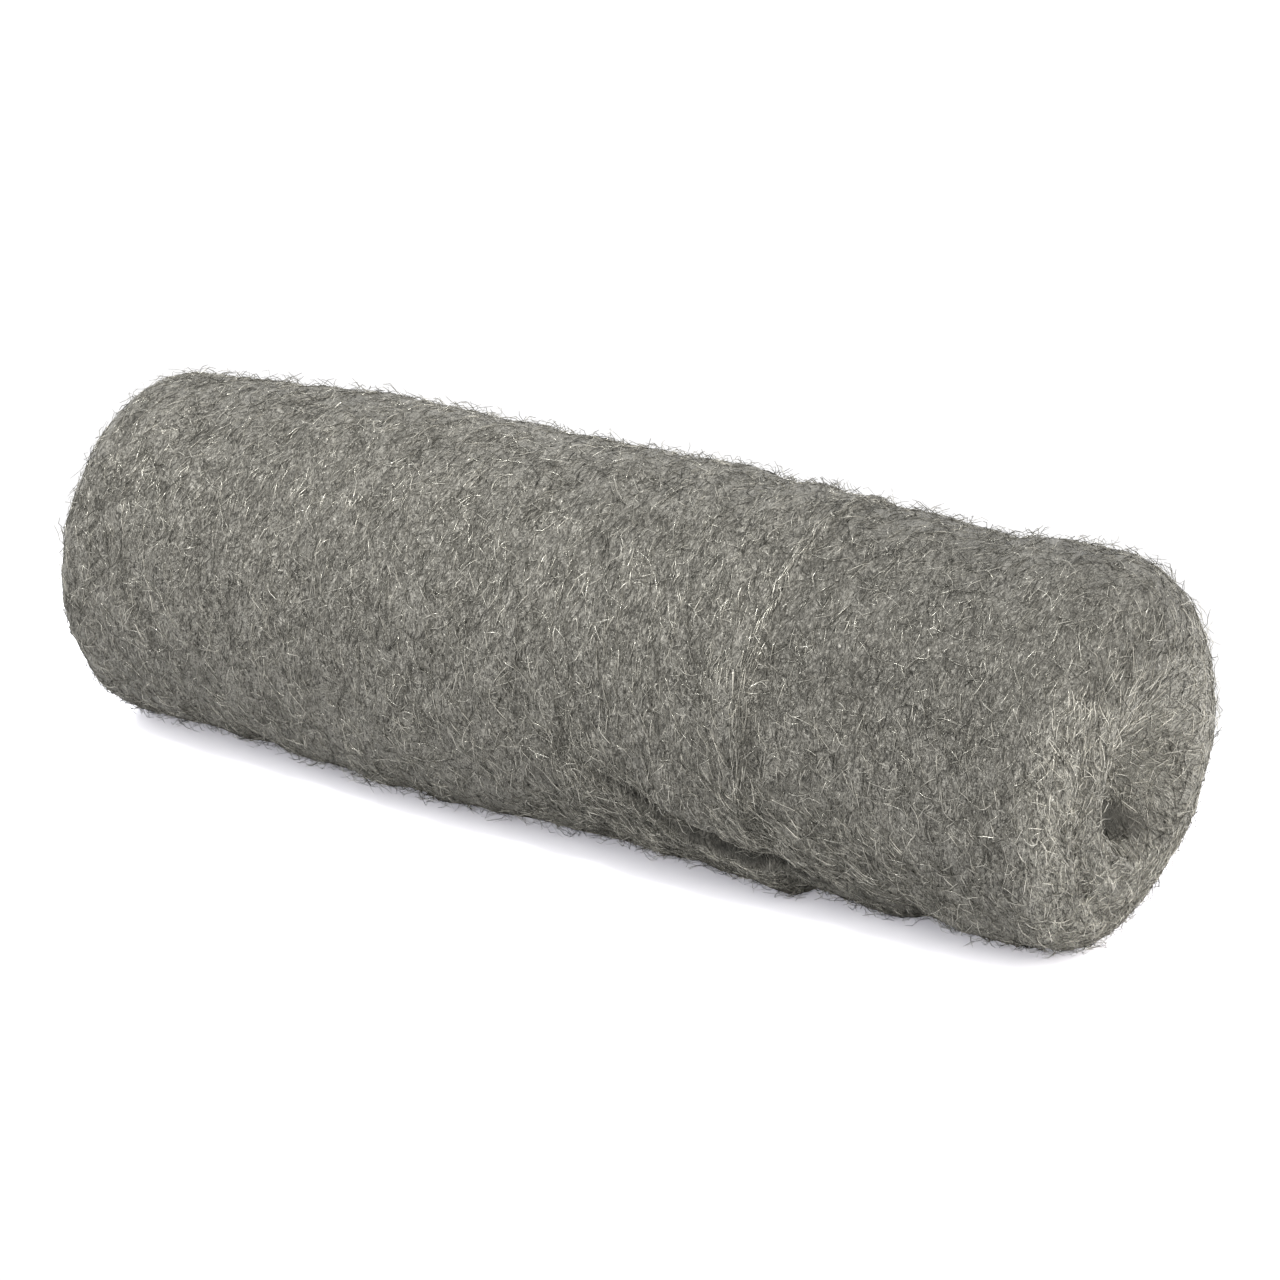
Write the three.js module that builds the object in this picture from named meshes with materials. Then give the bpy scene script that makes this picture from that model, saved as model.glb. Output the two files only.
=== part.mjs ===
// Steel wool roll: one long web of fine steel wool wound into a soft roll that lies on its side.
// Lengths are millimetres and angles are degrees. X runs along the roll with the open end at +X,
// Z is up, and the origin lies on the ground under the middle of the roll. Angles around the roll
// start at +Y and pass the top at 90, the front at 180 and the ground at 270.
import * as THREE from 'three';

// The roll as a whole
const rollLength = 241;
const closedEndRadius = 36.8;
const middleRadius = 39.1;
const openEndRadius = 38.6;
const restFlatDepth = 1.3;

// The rounded shoulders of the two ends
const closedShoulder = 12;
const closedShoulderPower = 2.4;
const openShoulder = 25;
const openShoulderPower = 3.4;

// The outer layer of the web stops short of the open end, at a side edge that runs round the roll
const layerThickness = 1.3;
const sideEdgeFromOpenEnd = 67.5;
const sideEdgeSlant = 2.5;
const gutterDepth = 0.6;

// The loose end of the web lifts off low on the front and leaves a crease above it
const looseEndLength = 46;
const looseEndThickness = 1.2;
const looseEndFade = 60;
const creaseDepth = 2.1;
const creaseWidthAbove = 4.5;
const creaseWidthBelow = 2.2;
const creaseStartAngle = 188;
const creaseEndAngle = 222;

// Dents and swellings of the soft roll
const heelHeight = 2.4;
const heelPlace = 12;
const heelWidth = 11;
const tuckDepth = 0.5;
const foldHeight = 1.0;
const waistDepth = 1.0;
const openEndSwelling = 1.9;
const bellyHeight = 1.0;
const lumpHeight = 0.45;
const tuftHeight = 0.26;
const tuftSpacing = 17;

// The open end: its rim bulges at one side, and its turns sink in towards an off-centre hollow
const rimBulge = 2.8;
const rimBulgeSide = 22;
const rimBulgeDrop = 6;
const rimBulgeWidth = 24;
const hollowDepth = 11;
const hollowSide = -13;
const hollowRise = -5;
const hollowFloorRadius = 2;
const mouthRadius = 22;
const mouthShift = 15;
const mouthTiltAngle = 40;

// The turns that show on both ends as a spiral furrow
const turnPitch = 7.5;
const turnFurrowDepth = 1.5;
const turnFurrowWidth = 1.8;
const closedTurnFurrowDepth = 1.3;
const closedDimpleDepth = 5;
const closedDimpleRadius = 11;

// How finely the surface is divided
const columnCount = 66;
const plainRowSpacing = 5.6;
const featureRowSpacing = 4.8;
const closedEndRows = 10;
const shoulderRows = 6;
const hollowRows = 20;

const radians = (angle) => THREE.MathUtils.degToRad(angle);
const smooth = (from, to, x) => THREE.MathUtils.smoothstep(x, from, to);
const bell = (x, centre, width) => Math.exp(-(((x - centre) / width) ** 2));
const swing = (angle) => THREE.MathUtils.euclideanModulo(angle + 180, 360) - 180;

const closedShoulderX = -rollLength / 2 + closedShoulder;
const openShoulderX = rollLength / 2 - openShoulder;
const sideEdgeX = rollLength / 2 - sideEdgeFromOpenEnd;
const looseEndX = sideEdgeX - looseEndLength;

// The roll is a little fatter in the middle: a parabola through its three radii
function rollRadius(x) {
  const u = (2 * x) / rollLength;
  const slope = (openEndRadius - closedEndRadius) / 2;
  const bow = (openEndRadius + closedEndRadius) / 2 - middleRadius;
  return middleRadius + slope * u + bow * u * u;
}

// Where the loose end's crease runs: it drops from the front towards the ground
function creaseAngle(x) {
  const progress = smooth(looseEndX - 8, sideEdgeX + 8, x);
  return creaseStartAngle + (creaseEndAngle - creaseStartAngle) * progress;
}

// The side edge of the outer layer isn't square to the roll
function edgeSlant(angle) {
  return sideEdgeSlant * Math.cos(radians(angle - 150));
}

// How far the outer layer and its loose end lift the surface
function layerHeight(x, angle) {
  const turn = THREE.MathUtils.euclideanModulo(angle - creaseAngle(x), 360);
  const fromEdge = x - sideEdgeX;
  const loose = smooth(-looseEndFade, -9, fromEdge) * (1 - smooth(-3, 4, fromEdge));
  const looseEnd = looseEndThickness * loose * (1 - smooth(0, 150, turn));
  const creaseReach = smooth(-looseEndLength, -20, fromEdge) * (1 - smooth(-2, 8, fromEdge));
  const creaseSection = turn > 180 ? bell(turn, 360, creaseWidthAbove) : bell(turn, 0, creaseWidthBelow);
  const layer = layerThickness * (1 - smooth(-1.2, 1.6, fromEdge + edgeSlant(angle)));
  const gutter = gutterDepth * bell(fromEdge + edgeSlant(angle), 2.6, 2.4) * bell(swing(angle - 120), 0, 85);
  return looseEnd - creaseDepth * creaseReach * creaseSection + layer - 0.6 * layerThickness - gutter;
}

// A heel and a tuck under the roll, a fold beside them, a waist and the swollen rim of the open end
function dentHeight(x, angle) {
  const fromEdge = x - sideEdgeX;
  const fromOpenEnd = rollLength / 2 - x;
  const heel = heelHeight * bell(fromEdge, heelPlace, heelWidth) * bell(swing(angle - 245), 0, 17);
  const tuck = tuckDepth * bell(fromEdge, 30, 6) * bell(swing(angle - 250), 0, 12);
  const foldAngle = 204 + 0.7 * (fromEdge - 7);
  const foldReach = smooth(-1, 13, fromEdge) * (1 - smooth(37, 47, fromEdge));
  const fold = foldHeight * foldReach * bell(swing(angle - foldAngle), 0, 8);
  const waist = waistDepth * bell(fromOpenEnd, 42.5, 9) * bell(swing(angle - 80), 0, 60);
  const swelling = openEndSwelling * (1 - smooth(22.5, 40.5, fromOpenEnd)) * bell(swing(angle - 70), 0, 65);
  return heel - tuck + fold - waist + swelling;
}

// Long soft lumps all over, and two bellies low on the front
function lumpSurface(x, angle) {
  const a = radians(angle);
  const fromClosedEnd = x + rollLength / 2;
  const belly = bell(fromClosedEnd, 54.5, 26) * bell(swing(angle - 228), 0, 16)
    + bell(fromClosedEnd, 100.5, 20) * bell(swing(angle - 232), 0, 18);
  const waves = Math.sin(2 * a + x / 24 + 1.1)
    + 0.67 * Math.sin(3 * a - x / 17 + 0.4)
    + 0.67 * Math.sin(x / 10.5 + 2.1 * Math.cos(a))
    + 0.44 * Math.sin(5 * a + x / 8);
  return bellyHeight * belly + lumpHeight * waves;
}

// Soft tufts of the matted wool: crossing waves about one tuft spacing long, which fade at the shoulders
function tuftSurface(x, angle) {
  const a = radians(angle);
  const along = (2 * Math.PI * x) / tuftSpacing;
  const fade = smooth(0, tuftSpacing, x - closedShoulderX) * smooth(0, tuftSpacing, openShoulderX - x);
  return tuftHeight * fade * (Math.sin(along + 4 * a + 1.7 * Math.sin(2 * a))
    + 0.8 * Math.sin(0.77 * along - 5 * a + 2.3)
    + 0.7 * Math.sin(0.43 * along + 9 * a + 0.6)
    + 0.6 * Math.sin(1.31 * along - 2 * a + 4.1));
}

function wallRadius(x, angle) {
  return rollRadius(x) + layerHeight(x, angle) + dentHeight(x, angle) + lumpSurface(x, angle)
    + tuftSurface(x, angle);
}

// A spiral furrow between the turns: one at full depth on the spiral, none between two turns
function spiralFurrow(y, z, outerRadius, startAngle) {
  const radius = Math.hypot(y, z);
  const angle = THREE.MathUtils.radToDeg(Math.atan2(z, y));
  const turns = (radius - outerRadius) / turnPitch + (angle - startAngle) / 360;
  return bell((turns - Math.round(turns)) * turnPitch, 0, turnFurrowWidth);
}

// Surface height of the open end over the point at a share of the way out from the hollow's middle
function openEndPoint(share, angle, wallY, wallZ) {
  const y = hollowSide + (wallY - hollowSide) * share;
  const z = hollowRise + (wallZ - hollowRise) * share;
  const reach = share * Math.hypot(wallY - hollowSide, wallZ - hollowRise);
  const radius = Math.hypot(y, z);
  const outward = Math.min(1, radius / Math.hypot(wallY, wallZ));
  const bulge = rimBulge * bell(Math.hypot(y - rimBulgeSide, z + rimBulgeDrop), 0, rimBulgeWidth);
  const dome = (openShoulder + bulge) * (1 - outward ** openShoulderPower) ** (1 / openShoulderPower);
  const lip = mouthRadius + mouthShift * Math.cos(radians(angle - mouthTiltAngle));
  const hollow = hollowDepth * (1 - smooth(hollowFloorRadius, lip, reach));
  const around = THREE.MathUtils.radToDeg(Math.atan2(z, y));
  const strength = 0.45 + 0.55 * bell(swing(around - 215), 0, 80);
  const furrow = turnFurrowDepth * spiralFurrow(y, z, openEndRadius - 9, 180) * strength
    * smooth(18, 25, radius) * (1 - smooth(openEndRadius - 9.6, openEndRadius - 5.6, radius));
  return new THREE.Vector3(openShoulderX + dome - hollow - furrow, y, z);
}

// Surface height of the closed end, which has a small dimple in the middle of its turns
function closedEndPoint(share, wallY, wallZ) {
  const y = wallY * share;
  const z = wallZ * share;
  const radius = Math.hypot(y, z);
  const dome = closedShoulder * (1 - share ** closedShoulderPower) ** (1 / closedShoulderPower);
  const furrow = closedTurnFurrowDepth * spiralFurrow(-y, z, closedEndRadius - 8, 0)
    * smooth(4, 9, radius) * (1 - smooth(closedEndRadius - 10, closedEndRadius - 5, radius));
  const dimple = closedDimpleDepth * (1 - smooth(0, closedDimpleRadius, radius));
  return new THREE.Vector3(closedShoulderX - dome + furrow + dimple, y, z);
}

// Row places along the side, closer together where the web's edges and dents are
function sideRows() {
  const edgeOffsets = [-6, -1.2, 0.2, 1.6, 2.8, 4.6, 8];
  const fill = (from, to, spacing) => {
    const count = Math.max(2, Math.ceil((to - from) / spacing));
    return Array.from({ length: count }, (_, i) => from + ((to - from) * i) / count);
  };
  const edgeRows = edgeOffsets.map((offset) => sideEdgeX + offset);
  return [
    ...fill(closedShoulderX, looseEndX, plainRowSpacing),
    ...fill(looseEndX, edgeRows[0], featureRowSpacing),
    ...edgeRows,
    ...fill(edgeRows.at(-1) + featureRowSpacing, openShoulderX, featureRowSpacing),
    openShoulderX,
  ];
}

// Turns away from the crease: close beside it, then even all the way round
function columnTurns() {
  const beside = [0, 2.5, 6];
  const before = [351, 355, 358.6];
  const evenCount = columnCount - beside.length - before.length;
  const even = Array.from({ length: evenCount }, (_, i) => 6 + (345 * (i + 1)) / (evenCount + 1));
  return [...beside, ...even, ...before];
}

function wallPoint(row, turn) {
  const angle = creaseAngle(row) + turn;
  const x = row - edgeSlant(angle) * bell(row, sideEdgeX, 25);
  const radius = wallRadius(x, angle);
  return new THREE.Vector3(x, radius * Math.cos(radians(angle)), radius * Math.sin(radians(angle)));
}

// The shoulder rings follow the rounded corner, and the rings inside them are evenly spaced
function openEndShares() {
  const shoulder = Array.from({ length: shoulderRows }, (_, i) => {
    const corner = radians((66 * (i + 1)) / shoulderRows);
    return Math.cos(corner) ** (2 / openShoulderPower);
  });
  const last = shoulder.at(-1);
  return [...shoulder, ...Array.from({ length: hollowRows }, (_, i) => last * (1 - (i + 1) / (hollowRows + 1)))];
}

function closedEndShares() {
  return Array.from({ length: closedEndRows }, (_, i) => {
    const progress = (i + 1) / (closedEndRows + 1);
    return 1 - (1 - progress) ** 1.7;
  });
}

// The centre line sinks by the depth of the flat, and what would reach below the ground is pressed flat
function settle(point) {
  const x = THREE.MathUtils.clamp(point.x, closedShoulderX, openShoulderX);
  point.z = Math.max(0, point.z + rollRadius(x) - restFlatDepth);
  return point;
}

// The rings from the closed end's middle to the open end's middle
function rollRings() {
  const turns = columnTurns();
  const rows = sideRows();
  const side = rows.map((row) => turns.map((turn) => wallPoint(row, turn)));
  const closedWall = side[0];
  const openWall = side.at(-1);
  const closedRings = closedEndShares().map((share) => closedWall.map((p) => closedEndPoint(share, p.y, p.z)));
  const openRings = openEndShares().map((share) => openWall.map((p, i) => (
    openEndPoint(share, creaseAngle(openShoulderX) + turns[i], p.y, p.z))));
  return [...closedRings, ...side, ...openRings];
}

// One closed skin: the rings joined by triangles, with a fan to a single point at each end
function rollGeometry() {
  const rings = rollRings();
  const columns = rings[0].length;
  const poles = [closedEndPoint(0, closedEndRadius, 0), openEndPoint(0, 0, openEndRadius, 0)];
  const points = [...rings.flat(), ...poles].map(settle);
  const index = (row, column) => row * columns + (column % columns);
  const closedPole = rings.length * columns;
  const openPole = closedPole + 1;
  const faces = [];
  for (let column = 0; column < columns; column += 1) {
    faces.push(closedPole, index(0, column + 1), index(0, column));
    for (let row = 0; row + 1 < rings.length; row += 1) {
      const [a, b] = [index(row, column), index(row, column + 1)];
      const [c, d] = [index(row + 1, column + 1), index(row + 1, column)];
      faces.push(a, b, c, a, c, d);
    }
    const last = rings.length - 1;
    faces.push(index(last, column), index(last, column + 1), openPole);
  }
  const geometry = new THREE.BufferGeometry().setFromPoints(points);
  geometry.setIndex(faces);
  geometry.computeBoundingBox();
  const middle = geometry.boundingBox.getCenter(new THREE.Vector3());
  geometry.translate(-middle.x, -middle.y, 0);
  geometry.computeVertexNormals();
  return geometry;
}

const steelWool = new THREE.MeshStandardMaterial({ color: 0x8a8780, roughness: 0.55, metalness: 0.8 });
const woolRoll = new THREE.Mesh(rollGeometry(), steelWool);
woolRoll.name = 'wool_roll';

const steelWoolRoll = new THREE.Group();
steelWoolRoll.add(woolRoll);

export default steelWoolRoll;
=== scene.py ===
"""A roll of fine steel wool lying on its side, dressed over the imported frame.

Sizes of the roll and its fibres are millimetres and degrees, and sizes in the finishes and the studio are
metres unless their class says otherwise. X runs along the roll with the open end at +X and Z is up. Angles
round the roll start at +Y and pass the top at 90, the front at 180 and the ground at 270. Meshes are written
in metres, in the frame's own axes.
"""
import logging
from collections.abc import Iterable
from dataclasses import dataclass
from enum import Enum
from typing import Any

import bpy
import numpy as np
from mathutils import Matrix, Vector


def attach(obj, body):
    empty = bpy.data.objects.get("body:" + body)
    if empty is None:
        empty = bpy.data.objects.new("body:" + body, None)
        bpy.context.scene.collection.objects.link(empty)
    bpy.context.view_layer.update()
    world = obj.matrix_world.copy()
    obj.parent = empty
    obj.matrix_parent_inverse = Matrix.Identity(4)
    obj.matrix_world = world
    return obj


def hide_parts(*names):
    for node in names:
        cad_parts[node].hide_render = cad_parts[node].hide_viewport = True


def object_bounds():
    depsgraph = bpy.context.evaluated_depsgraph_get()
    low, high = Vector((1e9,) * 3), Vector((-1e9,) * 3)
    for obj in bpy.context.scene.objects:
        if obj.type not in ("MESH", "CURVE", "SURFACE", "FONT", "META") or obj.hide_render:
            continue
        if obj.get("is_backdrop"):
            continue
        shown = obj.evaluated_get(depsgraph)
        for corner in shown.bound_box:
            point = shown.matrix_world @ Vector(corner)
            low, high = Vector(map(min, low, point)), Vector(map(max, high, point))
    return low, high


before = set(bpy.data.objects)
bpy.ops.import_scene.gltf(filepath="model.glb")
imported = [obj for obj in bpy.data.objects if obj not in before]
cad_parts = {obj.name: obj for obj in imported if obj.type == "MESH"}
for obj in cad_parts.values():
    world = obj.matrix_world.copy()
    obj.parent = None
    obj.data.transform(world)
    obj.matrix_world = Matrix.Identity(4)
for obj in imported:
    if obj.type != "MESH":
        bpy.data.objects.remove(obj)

LOG = logging.getLogger("steel_wool_roll")
MM = 0.001
MM_PER_METRE = 1000.0
ROLL_NODE = "wool_roll"
Array = np.ndarray
Colour = tuple[float, float, float]


def smooth(start: float | Array, end: float | Array, x: Array) -> Array:
    """A smooth step from 0 at start to 1 at end: 3q^2 - 2q^3 of the clipped share q of the way."""
    share = np.clip((np.asarray(x, float) - start) / (end - start), 0.0, 1.0)
    return share * share * (3.0 - 2.0 * share)


def bell(x: Array, centre: float, width: float | Array) -> Array:
    """A bell curve of height 1: the exponential of minus the squared distance from centre over width."""
    return np.exp(-(((np.asarray(x, float) - centre) / width) ** 2))


def swing(angle: Array) -> Array:
    """The angle brought between -180 and 180 degrees."""
    return (np.asarray(angle, float) + 180.0) % 360.0 - 180.0


@dataclass(frozen=True)
class RollForm:
    """The wound roll's form, the same as the frame's solid: sizes in millimetres and degrees."""

    length: float = 241.0
    closed_end_radius: float = 36.8
    middle_radius: float = 39.1
    open_end_radius: float = 38.6
    rest_flat_depth: float = 1.3
    closed_shoulder: float = 12.0
    closed_shoulder_power: float = 2.4
    open_shoulder: float = 25.0
    open_shoulder_power: float = 3.4
    layer_thickness: float = 1.3
    side_edge_from_open_end: float = 67.5
    side_edge_slant: float = 2.5
    gutter_depth: float = 0.6
    loose_end_length: float = 46.0
    loose_end_thickness: float = 1.2
    loose_end_fade: float = 60.0
    crease_depth: float = 2.1
    crease_width_above: float = 4.5
    crease_width_below: float = 2.2
    crease_start_angle: float = 188.0
    crease_end_angle: float = 222.0
    heel_height: float = 2.4
    heel_place: float = 12.0
    heel_width: float = 11.0
    tuck_depth: float = 0.5
    fold_height: float = 1.0
    waist_depth: float = 1.0
    open_end_swelling: float = 1.9
    belly_height: float = 1.0
    lump_height: float = 0.45
    tuft_height: float = 0.26
    tuft_spacing: float = 17.0
    rim_bulge: float = 2.8
    rim_bulge_side: float = 22.0
    rim_bulge_drop: float = 6.0
    rim_bulge_width: float = 24.0
    hollow_depth: float = 11.0
    hollow_side: float = -13.0
    hollow_rise: float = -5.0
    hollow_floor_radius: float = 2.0
    mouth_radius: float = 22.0
    mouth_shift: float = 15.0
    mouth_tilt_angle: float = 40.0
    turn_pitch: float = 7.5
    turn_furrow_depth: float = 1.5
    turn_furrow_width: float = 1.8
    closed_turn_furrow_depth: float = 1.3
    closed_dimple_depth: float = 5.0
    closed_dimple_radius: float = 11.0

    @property
    def closed_shoulder_x(self) -> float:
        """Where the side meets the closed end's shoulder."""
        return -self.length / 2 + self.closed_shoulder

    @property
    def open_shoulder_x(self) -> float:
        """Where the side meets the open end's shoulder."""
        return self.length / 2 - self.open_shoulder

    @property
    def side_edge_x(self) -> float:
        """Where the outer layer of the web stops, short of the open end."""
        return self.length / 2 - self.side_edge_from_open_end

    def side_station(self, x: float) -> float:
        """The station of a place along the side."""
        return 1 + (x - self.closed_shoulder_x) / (self.open_shoulder_x - self.closed_shoulder_x)

    def radius(self, x: Array) -> Array:
        """The roll's plain radius: a parabola along x through its three radii."""
        u = 2 * x / self.length
        slope = (self.open_end_radius - self.closed_end_radius) / 2
        bow = (self.open_end_radius + self.closed_end_radius) / 2 - self.middle_radius
        return self.middle_radius + slope * u + bow * u * u

    def crease_reach(self, x: Array) -> Array:
        """How open the crease is along the roll, from its start at the loose end to past the side edge."""
        from_edge = x - self.side_edge_x
        return smooth(-self.loose_end_length, -20, from_edge) * (1 - smooth(-2, 8, from_edge))

    def crease_angle(self, x: Array) -> Array:
        """The angle of the loose end's crease: a smooth drop from the front towards the ground."""
        start = self.side_edge_x - self.loose_end_length - 8
        progress = smooth(start, self.side_edge_x + 8, x)
        return self.crease_start_angle + (self.crease_end_angle - self.crease_start_angle) * progress

    def edge_slant(self, angle: Array) -> Array:
        """How far the layer's side edge strays from square to the roll: one cosine wave round it."""
        return self.side_edge_slant * np.cos(np.radians(angle - 150))

    def layer_height(self, x: Array, angle: Array) -> Array:
        """The lift of the outer layer and its loose end over the turns below.

        Formula: a smooth step down across the side edge with a shallow gutter beside it, plus a step
        that is highest just below the crease and fades in half a turn, less a bell-shaped crease.

        Args:
            x: places along the roll.
            angle: angles round the roll.

        Returns:
            Heights to add to the plain radius.
        """
        turn = (angle - self.crease_angle(x)) % 360
        from_edge = x - self.side_edge_x
        slanted = from_edge + self.edge_slant(angle)
        loose = smooth(-self.loose_end_fade, -9, from_edge) * (1 - smooth(-3, 4, from_edge))
        loose_end = self.loose_end_thickness * loose * (1 - smooth(0, 150, turn))
        above, below = bell(turn, 360, self.crease_width_above), bell(turn, 0, self.crease_width_below)
        section = np.where(turn > 180, above, below)
        layer = self.layer_thickness * (0.4 - smooth(-1.2, 1.6, slanted))
        gutter = self.gutter_depth * bell(slanted, 2.6, 2.4) * bell(swing(angle - 120), 0, 85)
        return loose_end - self.crease_depth * self.crease_reach(x) * section + layer - gutter

    def dent_height(self, x: Array, angle: Array) -> Array:
        """A heel, a tuck, a fold, a waist and the swollen open end: products of bells and steps."""
        from_edge = x - self.side_edge_x
        from_open_end = self.length / 2 - x
        heel_reach = bell(from_edge, self.heel_place, self.heel_width)
        heel = self.heel_height * heel_reach * bell(swing(angle - 245), 0, 17)
        tuck = self.tuck_depth * bell(from_edge, 30, 6) * bell(swing(angle - 250), 0, 12)
        fold_reach = smooth(-1, 13, from_edge) * (1 - smooth(37, 47, from_edge))
        fold = self.fold_height * fold_reach * bell(swing(angle - 204 - 0.7 * (from_edge - 7)), 0, 8)
        waist = self.waist_depth * bell(from_open_end, 42.5, 9) * bell(swing(angle - 80), 0, 60)
        swelling_reach = 1 - smooth(22.5, 40.5, from_open_end)
        swelling = self.open_end_swelling * swelling_reach * bell(swing(angle - 70), 0, 65)
        return heel - tuck + fold - waist + swelling

    def lump_surface(self, x: Array, angle: Array) -> Array:
        """Long soft lumps: four crossing sine waves, and two bellies low on the front."""
        a = np.radians(angle)
        from_closed_end = x + self.length / 2
        belly = (bell(from_closed_end, 54.5, 26) * bell(swing(angle - 228), 0, 16)
                 + bell(from_closed_end, 100.5, 20) * bell(swing(angle - 232), 0, 18))
        waves = (np.sin(2 * a + x / 24 + 1.1) + 0.67 * np.sin(3 * a - x / 17 + 0.4)
                 + 0.67 * np.sin(x / 10.5 + 2.1 * np.cos(a)) + 0.44 * np.sin(5 * a + x / 8))
        return self.belly_height * belly + self.lump_height * waves

    def tuft_surface(self, x: Array, angle: Array) -> Array:
        """Soft tufts of the matted wool: four crossing sine waves, which fade towards both shoulders."""
        a = np.radians(angle)
        along = 2 * np.pi * x / self.tuft_spacing
        fade = (smooth(0, self.tuft_spacing, x - self.closed_shoulder_x)
                * smooth(0, self.tuft_spacing, self.open_shoulder_x - x))
        return self.tuft_height * fade * (
            np.sin(along + 4 * a + 1.7 * np.sin(2 * a)) + 0.8 * np.sin(0.77 * along - 5 * a + 2.3)
            + 0.7 * np.sin(0.43 * along + 9 * a + 0.6) + 0.6 * np.sin(1.31 * along - 2 * a + 4.1))

    def wall_radius(self, x: Array, angle: Array) -> Array:
        """The side's radius: the plain radius with its layers, dents, lumps and tufts."""
        return (self.radius(x) + self.layer_height(x, angle) + self.dent_height(x, angle)
                + self.lump_surface(x, angle) + self.tuft_surface(x, angle))

    def spiral_furrow(self, y: Array, z: Array, outer_radius: float, start_angle: float) -> Array:
        """A furrow along a spiral: 1 where radius over pitch plus angle is whole, a bell beside it."""
        angle = np.degrees(np.arctan2(z, y))
        turns = (np.hypot(y, z) - outer_radius) / self.turn_pitch + (angle - start_angle) / 360
        return bell((turns - np.round(turns)) * self.turn_pitch, 0, self.turn_furrow_width)

    def open_end(self, share: Array, angle: Array, wall_y: Array, wall_z: Array) -> Array:
        """The open end: a rounded rim that falls into an off-centre hollow with spiral furrows.

        Formula: over each point at a share of the way from the hollow's middle to the wall stands a
        superellipse dome that a bell makes taller at one side, less a smooth step down inside the
        mouth, less the furrow of the turns.

        Args:
            share: share of the way from the hollow's middle, 0, to the side wall, 1.
            angle: the column's angle round the roll.
            wall_y: y of the side wall where this column meets the shoulder.
            wall_z: z of the same point, from the roll's centre line.

        Returns:
            Points with x, y and z on the last axis.
        """
        y = self.hollow_side + (wall_y - self.hollow_side) * share
        z = self.hollow_rise + (wall_z - self.hollow_rise) * share
        reach = share * np.hypot(wall_y - self.hollow_side, wall_z - self.hollow_rise)
        power = self.open_shoulder_power
        radius = np.hypot(y, z)
        outward = np.minimum(radius / np.hypot(wall_y, wall_z), 1.0)
        away = np.hypot(y - self.rim_bulge_side, z + self.rim_bulge_drop)
        bulge = self.rim_bulge * bell(away, 0, self.rim_bulge_width)
        dome = (self.open_shoulder + bulge) * (1 - outward ** power) ** (1 / power)
        lip = self.mouth_radius + self.mouth_shift * np.cos(np.radians(angle - self.mouth_tilt_angle))
        hollow = self.hollow_depth * (1 - smooth(self.hollow_floor_radius, lip, reach))
        strength = 0.45 + 0.55 * bell(swing(np.degrees(np.arctan2(z, y)) - 215), 0, 80)
        outer = self.open_end_radius
        band = smooth(18, 25, radius) * (1 - smooth(outer - 9.6, outer - 5.6, radius))
        furrow = self.spiral_furrow(y, z, self.open_end_radius - 9, 180) * strength * band
        x = self.open_shoulder_x + dome - hollow - self.turn_furrow_depth * furrow
        return np.stack([x, y, z], axis=-1)

    def closed_end(self, share: Array, wall_y: Array, wall_z: Array) -> Array:
        """The closed end: a superellipse dome, less the furrow of the turns and a dimple in the middle."""
        y = wall_y * share
        z = wall_z * share
        radius = np.hypot(y, z)
        power = self.closed_shoulder_power
        dome = self.closed_shoulder * (1 - share ** power) ** (1 / power)
        outer = self.closed_end_radius
        band = smooth(4, 9, radius) * (1 - smooth(outer - 10, outer - 5, radius))
        furrow = self.closed_turn_furrow_depth * self.spiral_furrow(-y, z, outer - 8, 0) * band
        dimple = self.closed_dimple_depth * (1 - smooth(0, self.closed_dimple_radius, radius))
        return np.stack([self.closed_shoulder_x - dome + furrow + dimple, y, z], axis=-1)

    def surface(self, station: Array, turn: Array) -> Array:
        """The whole skin as one function of two parameters.

        Formula: the station runs 0 to 1 over the closed end from its middle out, 1 to 2 along the side
        and 2 to 3 over the open end into the hollow. The turn is the angle past the loose end's crease.
        The centre line sinks by as much as the flat is deep, and what is lower than the ground is pressed
        flat.

        Args:
            station: places along the profile, 0 to 3.
            turn: degrees past the crease.

        Returns:
            Points in millimetres with x, y and z on the last axis.
        """
        span = self.open_shoulder_x - self.closed_shoulder_x
        row = self.closed_shoulder_x + span * np.clip(station - 1, 0, 1)
        angle = self.crease_angle(row) + turn
        x = row - self.edge_slant(angle) * bell(row, self.side_edge_x, 25)
        radius = self.wall_radius(x, angle)
        y, z = radius * np.cos(np.radians(angle)), radius * np.sin(np.radians(angle))
        side = np.stack([x, y, z], axis=-1)
        closed_share = 1 - (1 - np.clip(station, 0, 1)) ** 1.7
        open_share = np.clip(3 - station, 0, 1)
        corner = 1 - (1 - open_share) ** 2.2
        points = np.where((station > 2)[..., None], self.open_end(corner, angle, y, z), side)
        points = np.where((station < 1)[..., None], self.closed_end(closed_share, y, z), points)
        centre = self.radius(np.clip(points[..., 0], self.closed_shoulder_x, self.open_shoulder_x))
        points[..., 2] = np.maximum(points[..., 2] + centre - self.rest_flat_depth, 0.0)
        return points


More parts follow.
